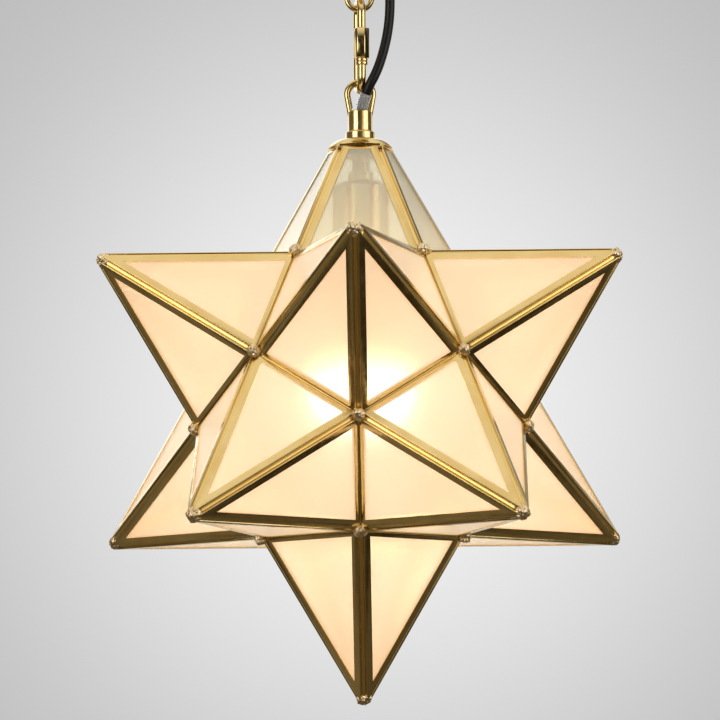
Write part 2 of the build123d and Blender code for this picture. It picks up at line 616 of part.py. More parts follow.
def flex(holder_top, nipple_top):
    """Flex from loop to loop beside the chain, its clear sleeve, and its hidden ends in the nipples."""
    rising = [Vector(x, y, barrel_bottom + z) for x, y, z in CORD_ROUTE]
    route = rising + [Vector(p.X, p.Y, mirror_height - p.Z) for p in reversed(rising)]
    radii = bend_radii(route)
    path = FilletPolyline(*route, radius=radii)
    cord = sweep(Plane(path @ 0, z_dir=path % 0) * Circle(CORD_RADIUS), path=path)
    node("flex_cord", cord)
    print("flex bend radii", [round(radius, 1) for radius in radii])
    print("flex length", round(path.length, 1), "volume", round(cord.volume, 1),
          "expected", round(path.length * Circle(CORD_RADIUS).area, 1))
    stretch = path.trim(TUBE_START / path.length, (TUBE_START + TUBE_LENGTH) / path.length)
    ring = Circle(TUBE_RADIUS) - Circle(CORD_RADIUS + TUBE_PLAY)
    node("clear_sleeve", sweep(Plane(stretch @ 0, z_dir=stretch % 0) * ring, path=stretch))
    node("lamp_flex", ring_bar(CORD_RADIUS, holder_top, route[0].Z))
    node("ceiling_flex", ring_bar(CORD_RADIUS, route[-1].Z, nipple_top))


def ring_bar(radius, bottom, top):
    return Pos(0, 0, (bottom + top) / 2) * Cylinder(radius, top - bottom)


pane_block = star_points()
solder_drops(pane_block)
door_hinge()
star_cap()
shell_top, contact_height = lampholder()
bulb(contact_height)
chain()
nipple_top = ceiling_set()
flex(shell_top, nipple_top)

os.makedirs("parts", exist_ok=True)
for name, solids in nodes.items():
    lowered = [Pos(0, 0, -ceiling) * solid for solid in solids]
    shape = lowered[0] if len(lowered) == 1 else Compound(children=lowered)
    export_step(shape, f"parts/{name}.step")
print("nodes", len(nodes), "ceiling above the star's centre", round(ceiling, 2))
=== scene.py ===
"""A star pendant light: brass-framed frosted glass points, lit from inside, on a quick link and a short chain.

Everything is in metres in the frame of the CAD model: the ceiling is z = 0 and the photographed front faces -Y.
"""
import logging
import math
from dataclasses import dataclass, field
from enum import Enum

import bmesh
import bpy
from mathutils import Matrix, Vector


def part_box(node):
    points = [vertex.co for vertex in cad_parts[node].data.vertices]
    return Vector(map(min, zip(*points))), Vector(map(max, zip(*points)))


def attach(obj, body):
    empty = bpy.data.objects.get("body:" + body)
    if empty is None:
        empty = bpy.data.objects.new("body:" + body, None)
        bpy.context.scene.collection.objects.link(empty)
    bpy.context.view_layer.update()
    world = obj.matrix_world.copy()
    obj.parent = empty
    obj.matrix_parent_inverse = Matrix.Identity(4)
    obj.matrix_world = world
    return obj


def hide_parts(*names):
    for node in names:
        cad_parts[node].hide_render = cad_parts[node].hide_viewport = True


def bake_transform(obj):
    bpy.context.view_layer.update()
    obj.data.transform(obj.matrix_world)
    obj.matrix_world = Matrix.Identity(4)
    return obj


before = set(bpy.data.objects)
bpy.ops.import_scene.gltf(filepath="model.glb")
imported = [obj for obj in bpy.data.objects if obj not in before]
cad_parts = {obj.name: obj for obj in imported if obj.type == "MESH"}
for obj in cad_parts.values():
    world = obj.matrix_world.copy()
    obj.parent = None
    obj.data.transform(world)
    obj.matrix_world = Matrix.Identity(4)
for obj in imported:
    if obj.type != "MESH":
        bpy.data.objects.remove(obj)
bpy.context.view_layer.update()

STAR_CENTRE = Vector((0.0, 0.0, -0.3484))
LOG = logging.getLogger("star_pendant")
# A point of the star has five sides, STEP degrees apart.
SIDES = 5
STEP = 360 / SIDES
# Corners closer than this are one.
MERGE_MM = 0.01
# In degrees: faces that count as flat, edges that count as folds, edges that are shaded smooth.
FLAT_ANGLE = 0.5
FOLD_ANGLE = 40
SMOOTH_ANGLE = 35
FOLD_SEGMENTS = 3
# Fineness and order of the spline that a flex runs along.
ROUTE_STEPS = 16
ROUTE_ORDER = 3


class Body(Enum):
    """Rigid bodies of the light that pieces ride on."""

    CEILING = "ceiling_mount"
    UPPER_LINK = "upper_link"
    LOWER_LINK = "lower_link"
    QUICK_LINK = "quick_link"
    SLEEVE = "sleeve"
    STAR = "star"
    DOOR = "door"
    BULB = "bulb"


class Slot(Enum):
    """Names of the material slots of the record."""

    BRASS = "polished_brass"
    SOLDER = "plated_solder"
    FLEX = "black_flex"
    TUBE = "clear_tube"


def mm(length: float) -> float:
    """Millimetres in metres."""
    return length / 1000.0


def linear(code: str) -> tuple[float, float, float, float]:
    """Turns an sRGB hex colour into the linear colour that a socket takes.

    Args:
        code: Six hex digits with a leading hash sign.

    Returns:
        Linear red, green, blue and an alpha of 1.
    """
    values = [int(code[i:i + 2], 16) / 255 for i in (1, 3, 5)]
    low = [v / 12.92 if v <= 0.04045 else ((v + 0.055) / 1.055) ** 2.4 for v in values]
    return (low[0], low[1], low[2], 1.0)


def add_node(tree: bpy.types.NodeTree, kind: str, inputs: dict[str | int, object] | None = None,
             **settings: object) -> bpy.types.Node:
    """Adds a node, sets its properties, and fills its inputs with values or links.

    Args:
        tree: Node tree to add to.
        kind: Blender's name of the node's class.
        inputs: Socket name or number to a plain value or to another node's output.
        settings: Properties of the node.

    Returns:
        The new node.
    """
    made = tree.nodes.new(kind)
    for name, value in settings.items():
        setattr(made, name, value)
    for name, value in (inputs or {}).items():
        if isinstance(value, bpy.types.NodeSocket):
            tree.links.new(value, made.inputs[name])
        else:
            made.inputs[name].default_value = value
    return made


def new_material(name: str) -> tuple[bpy.types.Material, bpy.types.NodeTree]:
    """Makes an empty node material.

    Args:
        name: Name of the real material.

    Returns:
        The material and its node tree.
    """
    made = bpy.data.materials.new(name)
    made.use_nodes = True
    made.node_tree.nodes.clear()
    return made, made.node_tree


def dress(obj: bpy.types.Object, finish: bpy.types.Material) -> None:
    """Gives an object one material all over.

    Args:
        obj: The object.
        finish: Its material.
    """
    obj.data.materials.clear()
    obj.data.materials.append(finish)
    for face in obj.data.polygons:
        face.material_index = 0


@dataclass(frozen=True)
class BrassFinish:
    """Brass with a polished, lacquered face: mirror-like, warm, with faint rolling lines and handling haze."""

    name: str = "polished_lacquered_brass"
    pale: str = "#F1DEA8"
    deep: str = "#D8B771"
    roughness: float = 0.12
    haze: float = 0.12
    cloud_mm: float = 22.0
    ripple_mm: float = 5.0
    ripple: float = 0.06
    wave: float = 0.35
    ripple_depth_mm: float = 0.4
    wave_depth_mm: float = 1.0
    clean_below: float = 0.3
    hazy_above: float = 0.8

    def build(self) -> bpy.types.Material:
        """Builds the material: cloudy tone, uneven polish and a shallow ripple in the metal's face.

        Returns:
            The material.
        """
        made, tree = new_material(self.name)
        where = add_node(tree, "ShaderNodeTexCoord").outputs["Object"]
        cloud = add_node(tree, "ShaderNodeTexNoise", {
            "Vector": where, "Scale": 1 / mm(self.cloud_mm), "Detail": 3.0})
        tone = add_node(tree, "ShaderNodeMix", {
            "Factor": cloud.outputs["Fac"], "A": linear(self.deep), "B": linear(self.pale)}, data_type="RGBA")
        smear = add_node(tree, "ShaderNodeTexNoise", {
            "Vector": where, "Scale": 1 / mm(self.ripple_mm), "Detail": 4.0})
        polish = add_node(tree, "ShaderNodeMapRange", {
            "Value": smear.outputs["Fac"], "From Min": self.clean_below, "From Max": self.hazy_above,
            "To Min": self.roughness, "To Max": self.roughness + self.haze})
        ripple = add_node(tree, "ShaderNodeBump", {
            "Height": smear.outputs["Fac"], "Strength": self.ripple, "Distance": mm(self.ripple_depth_mm)})
        waves = add_node(tree, "ShaderNodeBump", {
            "Height": cloud.outputs["Fac"], "Strength": self.wave, "Distance": mm(self.wave_depth_mm),
            "Normal": ripple.outputs["Normal"]})
        shader = add_node(tree, "ShaderNodeBsdfPrincipled", {
            "Base Color": tone.outputs["Result"], "Metallic": 1.0, "Roughness": polish.outputs["Result"],
            "Normal": waves.outputs["Normal"]})
        add_node(tree, "ShaderNodeOutputMaterial", {"Surface": shader.outputs["BSDF"]})
        return made


@dataclass(frozen=True)
class FrostedGlassFinish:
    """Sheet glass etched on one face, satin, with painted light: a cream glow painted where the lamp shines through
    it, and painted shade, grey, beside the lampholder.
    """

    name: str = "etched_glass_painted_glow"
    tint: str = "#FFF4E0"
    # near and far colour the painted light: an emission glow that stands in for the lamp's light through the glass.
    near: str = "#FFF6DE"
    far: str = "#FFDBB0"
    roughness: float = 0.36
    roughness_spread: float = 0.05
    grain_mm: float = 1.2
    lamp_height_mm: float = -8.0
    near_mm: float = 62.0
    far_mm: float = 150.0
    # Strengths of the painted glow near the lamp and far from it, and of the painted shade under the lampholder.
    painted_glow_near: float = 0.2
    painted_glow_far: float = 0.205
    painted_shade_low_mm: float = 84.0
    painted_shade_high_mm: float = 122.0
    painted_shade_glow: float = 0.01
    transmission: float = 0.5
    ior: float = 1.28

    def build(self) -> bpy.types.Material:
        """Builds the material: rough transmission with a painted glow that falls off from the lamp, and painted
        shade under the cap.

        Returns:
            The material.
        """
        made, tree = new_material(self.name)
        where = add_node(tree, "ShaderNodeTexCoord").outputs["Object"]
        lamp = STAR_CENTRE + Vector((0, 0, mm(self.lamp_height_mm)))
        reach = add_node(tree, "ShaderNodeVectorMath", {0: where, 1: lamp}, operation="DISTANCE")
        fall = add_node(tree, "ShaderNodeMapRange", {
            "Value": reach.outputs["Value"], "From Min": mm(self.near_mm), "From Max": mm(self.far_mm)},
            interpolation_type="SMOOTHSTEP")
        colour = add_node(tree, "ShaderNodeMix", {
            "Factor": fall.outputs["Result"], "A": linear(self.near), "B": linear(self.far)}, data_type="RGBA")
        # Painted light: the glass emits a glow that falls off with distance from the lamp.
        glow = add_node(tree, "ShaderNodeMapRange", {
            "Value": fall.outputs["Result"], "To Min": self.painted_glow_near, "To Max": self.painted_glow_far})
        height = add_node(tree, "ShaderNodeSeparateXYZ", {"Vector": where})
        # Painted shade: the painted glow dims between two heights, under the lampholder.
        shade = add_node(tree, "ShaderNodeMapRange", {
            "Value": height.outputs["Z"],
            "From Min": STAR_CENTRE.z + mm(self.painted_shade_low_mm), "From Max": STAR_CENTRE.z + mm(self.painted_shade_high_mm),
            "To Min": 1.0, "To Max": self.painted_shade_glow / self.painted_glow_far}, interpolation_type="SMOOTHSTEP")
        lit = add_node(tree, "ShaderNodeMath", {
            0: glow.outputs["Result"], 1: shade.outputs["Result"]}, operation="MULTIPLY")
        grain = add_node(tree, "ShaderNodeTexNoise", {
            "Vector": where, "Scale": 1 / mm(self.grain_mm), "Detail": 2.0})
        etch = add_node(tree, "ShaderNodeMapRange", {
            "Value": grain.outputs["Fac"],
            "To Min": self.roughness - self.roughness_spread, "To Max": self.roughness + self.roughness_spread})
        shader = add_node(tree, "ShaderNodeBsdfPrincipled", {
            "Base Color": linear(self.tint), "Roughness": etch.outputs["Result"], "IOR": self.ior,
            "Transmission Weight": self.transmission,
            "Emission Color": colour.outputs["Result"], "Emission Strength": lit.outputs["Value"]})
        add_node(tree, "ShaderNodeOutputMaterial", {"Surface": shader.outputs["BSDF"]})
        return made


@dataclass(frozen=True)
class PlainFinish:
    """A moulded, cast or drawn material with a slightly uneven tone and surface."""

    name: str
    pale: str
    deep: str
    roughness: float
    metallic: float = 0.0
    grain_mm: float = 2.0
    bump: float = 0.05
    ior: float = 1.5
    roughness_spread: float = 0.06

    def build(self) -> bpy.types.Material:
        """Builds the material from a fine noise that sets tone, roughness and bump together.

        Returns:
            The material.
        """
        made, tree = new_material(self.name)
        where = add_node(tree, "ShaderNodeTexCoord").outputs["Object"]
        grain = add_node(tree, "ShaderNodeTexNoise", {
            "Vector": where, "Scale": 1 / mm(self.grain_mm), "Detail": 4.0})
        tone = add_node(tree, "ShaderNodeMix", {
            "Factor": grain.outputs["Fac"], "A": linear(self.deep), "B": linear(self.pale)}, data_type="RGBA")
        rough = add_node(tree, "ShaderNodeMapRange", {
            "Value": grain.outputs["Fac"],
            "To Min": self.roughness - self.roughness_spread, "To Max": self.roughness + self.roughness_spread})
        relief = add_node(tree, "ShaderNodeBump", {
            "Height": grain.outputs["Fac"], "Strength": self.bump, "Distance": mm(self.grain_mm / 4)})
        shader = add_node(tree, "ShaderNodeBsdfPrincipled", {
            "Base Color": tone.outputs["Result"], "Metallic": self.metallic, "IOR": self.ior,
            "Roughness": rough.outputs["Result"], "Normal": relief.outputs["Normal"]})
        add_node(tree, "ShaderNodeOutputMaterial", {"Surface": shader.outputs["BSDF"]})
        return made


@dataclass(frozen=True)
class LampGlassFinish:
    """Pearl bulb glass, lit: white-hot at the globe, warmer and dimmer towards its neck."""

    name: str = "pearl_bulb_glass"
    hot: str = "#FFFCF6"
    warm: str = "#FFC987"
    globe_glow: float = 14.0
    neck_glow: float = 0.4
    globe_mm: float = -10.0
    neck_mm: float = 34.0
    unlit: str = "#FFFAF0"
    roughness: float = 0.35
    ior: float = 1.5

    def build(self) -> bpy.types.Material:
        """Builds the material: light from the glass itself, by height above the star's centre.

        Returns:
            The material.
        """
        made, tree = new_material(self.name)
        where = add_node(tree, "ShaderNodeTexCoord").outputs["Object"]
        height = add_node(tree, "ShaderNodeSeparateXYZ", {"Vector": where})
        neck = add_node(tree, "ShaderNodeMapRange", {
            "Value": height.outputs["Z"], "From Min": STAR_CENTRE.z + mm(self.globe_mm),
            "From Max": STAR_CENTRE.z + mm(self.neck_mm)}, interpolation_type="SMOOTHSTEP")
        colour = add_node(tree, "ShaderNodeMix", {
            "Factor": neck.outputs["Result"], "A": linear(self.hot), "B": linear(self.warm)}, data_type="RGBA")
        glow = add_node(tree, "ShaderNodeMapRange", {
            "Value": neck.outputs["Result"], "To Min": self.globe_glow, "To Max": self.neck_glow})
        shader = add_node(tree, "ShaderNodeBsdfPrincipled", {
            "Base Color": linear(self.unlit), "Roughness": self.roughness, "IOR": self.ior,
            "Emission Color": colour.outputs["Result"], "Emission Strength": glow.outputs["Result"]})
        add_node(tree, "ShaderNodeOutputMaterial", {"Surface": shader.outputs["BSDF"]})
        return made


@dataclass(frozen=True)
class ClearTubeFinish:
    """Extruded clear vinyl: glossy, faintly grey, a little cloudy along its length."""

    name: str = "clear_vinyl_tube"
    tint: str = "#FBFCFC"
    roughness: float = 0.04
    ior: float = 1.2
    transmission: float = 0.76
    cloud_mm: float = 2.0
    cloud: float = 0.12

    def build(self) -> bpy.types.Material:
        """Builds the material from rough glass with a cloudy roughness.

        Returns:
            The material.
        """
        made, tree = new_material(self.name)
        where = add_node(tree, "ShaderNodeTexCoord").outputs["Object"]
        cloud = add_node(tree, "ShaderNodeTexNoise", {
            "Vector": where, "Scale": 1 / mm(self.cloud_mm), "Detail": 2.0})
        rough = add_node(tree, "ShaderNodeMapRange", {
            "Value": cloud.outputs["Fac"], "To Min": self.roughness, "To Max": self.roughness + self.cloud})
        shader = add_node(tree, "ShaderNodeBsdfPrincipled", {
            "Base Color": linear(self.tint), "Roughness": rough.outputs["Result"], "IOR": self.ior,
            "Transmission Weight": self.transmission})
        add_node(tree, "ShaderNodeOutputMaterial", {"Surface": shader.outputs["BSDF"]})
        return made


@dataclass(frozen=True)
class FloorFinish:
    """Matt pale paint of the studio's floor, lifted a little where it is looked at directly."""

    name: str = "painted_floor"
    pale: str = "#DCDCDC"
    deep: str = "#D4D4D4"
    patch_mm: float = 60.0
    lift: float = 0.42
    roughness: float = 0.7

    def build(self) -> bpy.types.Material:
        """Builds the material: matt paint, with a part of its tone added where it is looked at directly.

        Returns:
            The material.
        """
        made, tree = new_material(self.name)
        where = add_node(tree, "ShaderNodeTexCoord").outputs["Object"]
        patch = add_node(tree, "ShaderNodeTexNoise", {"Vector": where, "Scale": 1 / mm(self.patch_mm)})
        tone = add_node(tree, "ShaderNodeMix", {
            "Factor": patch.outputs["Fac"], "A": linear(self.deep), "B": linear(self.pale)}, data_type="RGBA")
        looked_at = add_node(tree, "ShaderNodeMath", {
            0: add_node(tree, "ShaderNodeLightPath").outputs["Is Camera Ray"], 1: self.lift}, operation="MULTIPLY")
        shader = add_node(tree, "ShaderNodeBsdfPrincipled", {
            "Base Color": tone.outputs["Result"], "Roughness": self.roughness,
            "Emission Color": tone.outputs["Result"], "Emission Strength": looked_at.outputs["Value"]})
        add_node(tree, "ShaderNodeOutputMaterial", {"Surface": shader.outputs["BSDF"]})
        return made


@dataclass(frozen=True)
class Finishes:
    """Every finish of the light, built once."""

    brass: bpy.types.Material
    satin: bpy.types.Material
    turned: bpy.types.Material
    solder: bpy.types.Material
    seam: bpy.types.Material
    contact: bpy.types.Material
    pane: bpy.types.Material
    top_pane: bpy.types.Material
    lamp: bpy.types.Material
    cap_metal: bpy.types.Material
    phenolic: bpy.types.Material
    polyamide: bpy.types.Material
    zinc: bpy.types.Material
    sheath: bpy.types.Material
    brown_core: bpy.types.Material
    blue_core: bpy.types.Material
    tube: bpy.types.Material

    @classmethod
    def build(cls) -> "Finishes":
        """Builds all finishes.

        Returns:
            The finishes.
        """
        return cls(
            brass=BrassFinish().build(),
            # Brushed brass of the lampholder, so its highlights are broad; its tone, paler than the sheet brass, is
            # painted light that brightens the lampholder inside the star.
            satin=BrassFinish(
                "satin_brass_painted_light", "#FFF0CE", "#F2DCAA", roughness=0.2, haze=0.06, ripple_mm=3.0, ripple=0.05,
                wave=0.05).build(),
            # Brass turned from bar, brighter and flatter than the sheet.
            turned=BrassFinish(
                "turned_brass", "#F5E6B8", "#DCC07E", roughness=0.07, haze=0.05, cloud_mm=40.0, ripple_mm=12.0,
                ripple=0.02, wave=0.05).build(),
            # Solder flowed on by hand and plated with the frame: softer shine, lumps of 2 to 3 mm.
            solder=BrassFinish(
                "plated_solder", "#FBEBCB", "#DDBD8C", roughness=0.26, haze=0.14, cloud_mm=9.0, ripple_mm=2.4,
                ripple=0.4).build(),
            # Solder run smooth along the seams and plated with the frame, more golden than the drops; its tone,
            # brighter than the frame's brass, is partly painted highlight.
            seam=BrassFinish(
                "plated_seam_solder_painted_bright", "#FFE29A", "#F3C768", roughness=0.28, haze=0.06, cloud_mm=30.0,
                ripple_mm=9.0, ripple=0.02, wave=0.04).build(),
            # Stamped contact brass, unlacquered and a little dull.
            contact=BrassFinish(
                "stamped_contact_brass", "#D9BC73", "#A9853F", roughness=0.28, haze=0.14, cloud_mm=12.0,
                ripple_mm=3.0, ripple=0.05).build(),
            pane=FrostedGlassFinish().build(),
            # The same glass in the top point, with painted shade where the lampholder shades it: a greyer tint and
            # a weaker painted glow, clearer to look into, grey-green.
            top_pane=FrostedGlassFinish(
                "etched_glass_in_painted_shade", tint="#EFEBDA", near="#F6E6BE", far="#E9E2C8", roughness=0.17,
                lamp_height_mm=4.0, near_mm=88.0, far_mm=135.0, painted_glow_near=0.15, painted_glow_far=0.14, painted_shade_glow=0.1,
                transmission=0.66).build(),
            lamp=LampGlassFinish().build(),
            # Drawn aluminium of the bulb's cap.
            cap_metal=PlainFinish("drawn_aluminium", "#D9D9D6", "#B4B4B2", 0.25, 1.0, 3.0, 0.03).build(),
            # Moulded black phenolic of the lampholder's core.
            phenolic=PlainFinish("moulded_phenolic", "#1C1B1A", "#111010", 0.42, 0.0, 1.5, 0.04).build(),
            # Moulded polyamide of the terminal block.
            polyamide=PlainFinish("moulded_polyamide", "#EFEDE4", "#DEDBD0", 0.35, 0.0, 1.5, 0.03).build(),
            # Pressed steel with bright zinc plating: cool grey with a faint spangle.
            zinc=PlainFinish("zinc_plated_steel", "#C9CCD0", "#9DA1A6", 0.34, 1.0, 4.0, 0.06).build(),
            # Extruded black vinyl sheath, slightly glossy.
            sheath=PlainFinish("black_vinyl_sheath", "#101012", "#09090A", 0.4, 0.0, 0.8, 0.05, 1.4).build(),
            # Vinyl of the flex's two cores.
            brown_core=PlainFinish("brown_vinyl_core", "#6A3E22", "#5A331B", 0.4, 0.0, 0.8, 0.04).build(),
            blue_core=PlainFinish("blue_vinyl_core", "#2F5FA8", "#274F8E", 0.4, 0.0, 0.8, 0.04).build(),
            tube=ClearTubeFinish().build(),
        )


def cad(name: str) -> bpy.types.Object:
    """The object of a CAD node."""
    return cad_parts[name]


def select_only(obj: bpy.types.Object) -> None:
    """Selects one object and makes it active.

    Args:
        obj: The object.
    """
    bpy.ops.object.select_all(action="DESELECT")
    obj.select_set(True)
    bpy.context.view_layer.objects.active = obj


def own_copy(node: str, name: str, body: Body) -> bpy.types.Object:
    """Copies a CAD node into a new piece that takes its place, with its corners merged.

    Args:
        node: Name of the CAD node.
        name: Name of the new piece.
        body: Body that the piece rides on.

    Returns:
        The new object, selected and active.
    """
    mesh = cad(node).data.copy()
    mesh.name = name
    obj = bpy.data.objects.new(name, mesh)
    bpy.context.scene.collection.objects.link(obj)
    select_only(obj)
    bpy.ops.object.mode_set(mode="EDIT")
    bpy.ops.mesh.select_all(action="SELECT")
    bpy.ops.mesh.remove_doubles(threshold=mm(MERGE_MM))
    bpy.ops.object.mode_set(mode="OBJECT")
    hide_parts(node)
    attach(obj, body.value)
    return obj


def round_folds(obj: bpy.types.Object, radius_mm: float, widest_lip_mm: float = 1.0) -> None:
    """Rounds the outer folds of bent sheet and leaves its cut lips sharp.

    Args:
        obj: A merged mesh of flat faces.
        radius_mm: Width of the rounding.
        widest_lip_mm: Faces narrower than this are lips, and their edges stay.
    """
    select_only(obj)
    bpy.ops.object.mode_set(mode="EDIT")
    bpy.ops.mesh.select_mode(type="EDGE")
    bpy.ops.mesh.select_all(action="SELECT")
    bpy.ops.mesh.dissolve_limited(angle_limit=math.radians(FLAT_ANGLE))
    bpy.ops.mesh.select_all(action="DESELECT")
    body = bmesh.from_edit_mesh(obj.data)
    wide = {face for face in body.faces if 2 * face.calc_area() / face.calc_perimeter() > mm(widest_lip_mm)}
    for edge in body.edges:
        if len(edge.link_faces) == 2 and edge.is_convex and wide.issuperset(edge.link_faces):
            edge.select_set(edge.calc_face_angle() > math.radians(FOLD_ANGLE))
    bmesh.update_edit_mesh(obj.data)
    LOG.info("%s: %d folds of %d edges", obj.name, sum(edge.select for edge in body.edges), len(body.edges))
    bpy.ops.mesh.bevel(offset=mm(radius_mm), segments=FOLD_SEGMENTS, affect="EDGES", clamp_overlap=True)
    bpy.ops.object.mode_set(mode="OBJECT")
    bpy.ops.object.shade_smooth_by_angle(angle=math.radians(SMOOTH_ANGLE))


def roughen(obj: bpy.types.Object, lump_mm: float, height_mm: float, middle: float = 0.5) -> None:
    """Pushes a mesh's surface in and out in soft lumps.

    Args:
        obj: The object.
        lump_mm: Size of the lumps.
        height_mm: From the deepest dent to the highest lump.
        middle: Share of that height which lies below the old surface.
    """
    clouds = bpy.data.textures.new(f"{obj.name}_lumps", "CLOUDS")
    clouds.noise_scale = mm(lump_mm)
    clouds.noise_depth = 1
    push = obj.modifiers.new("lumps", "DISPLACE")
    push.texture = clouds
    push.texture_coords = "LOCAL"
    push.strength = mm(height_mm)
    push.mid_level = middle
    select_only(obj)
    bpy.ops.object.modifier_apply(modifier=push.name)


@dataclass
class StarShade:
    """The twelve framed points with their panes, solder and the tube hinge of the rear one."""

    points: tuple[str, ...] = (
        "top", "upper_front", "upper_right", "door", "upper_rear_left", "upper_left", "lower_front_right",
        "lower_right", "lower_rear", "lower_left", "lower_front_left", "bottom")
    fold_mm: float = 0.4
    grain_mm: float = 0.35
    lump_mm: float = 2.4
    lump_height_mm: float = 2.0
    lump_share: float = 0.3
    crinkle_mm: float = 1.3
    crinkle_height_mm: float = 0.8
    door_lump_height_mm: float = 1.2
    door_lump_share: float = 0.4
    hinge: tuple[str, ...] = ("hinge_knuckles_fixed", "hinge_knuckle_door", "hinge_pin")

    def build(self, finishes: Finishes) -> None:
        """Builds the channels with rounded folds and the lumpy solder on their tips and corners.

        Args:
            finishes: Finishes of the light.
        """
        for point in self.points:
            body = Body.DOOR if point == "door" else Body.STAR
            came = own_copy(f"came_{point}", f"channels_{point}", body)
            round_folds(came, self.fold_mm)
            dress(came, finishes.brass)
        for node, body, height, below in (
                ("solder_star", Body.STAR, self.lump_height_mm, self.lump_share),
                ("solder_door", Body.DOOR, self.door_lump_height_mm, self.door_lump_share)):
            drops = own_copy(node, f"{node}_drops", body)
            grain = drops.modifiers.new("grain", "REMESH")
            grain.mode = "VOXEL"
            grain.voxel_size = mm(self.grain_mm)
            bpy.ops.object.modifier_apply(modifier=grain.name)
            roughen(drops, self.lump_mm, height, below)
            roughen(drops, self.crinkle_mm, self.crinkle_height_mm)
            bpy.ops.object.shade_smooth()
            dress(drops, finishes.solder)

    def dress(self, finishes: Finishes) -> None:
        """Gives panes and hinge their finishes.

        Args:
            finishes: Finishes of the light.
        """
        for point in self.points:
            dress(cad(f"glass_{point}"), finishes.top_pane if point == "top" else finishes.pane)
        for name in self.hinge:
            dress(cad(name), finishes.brass)


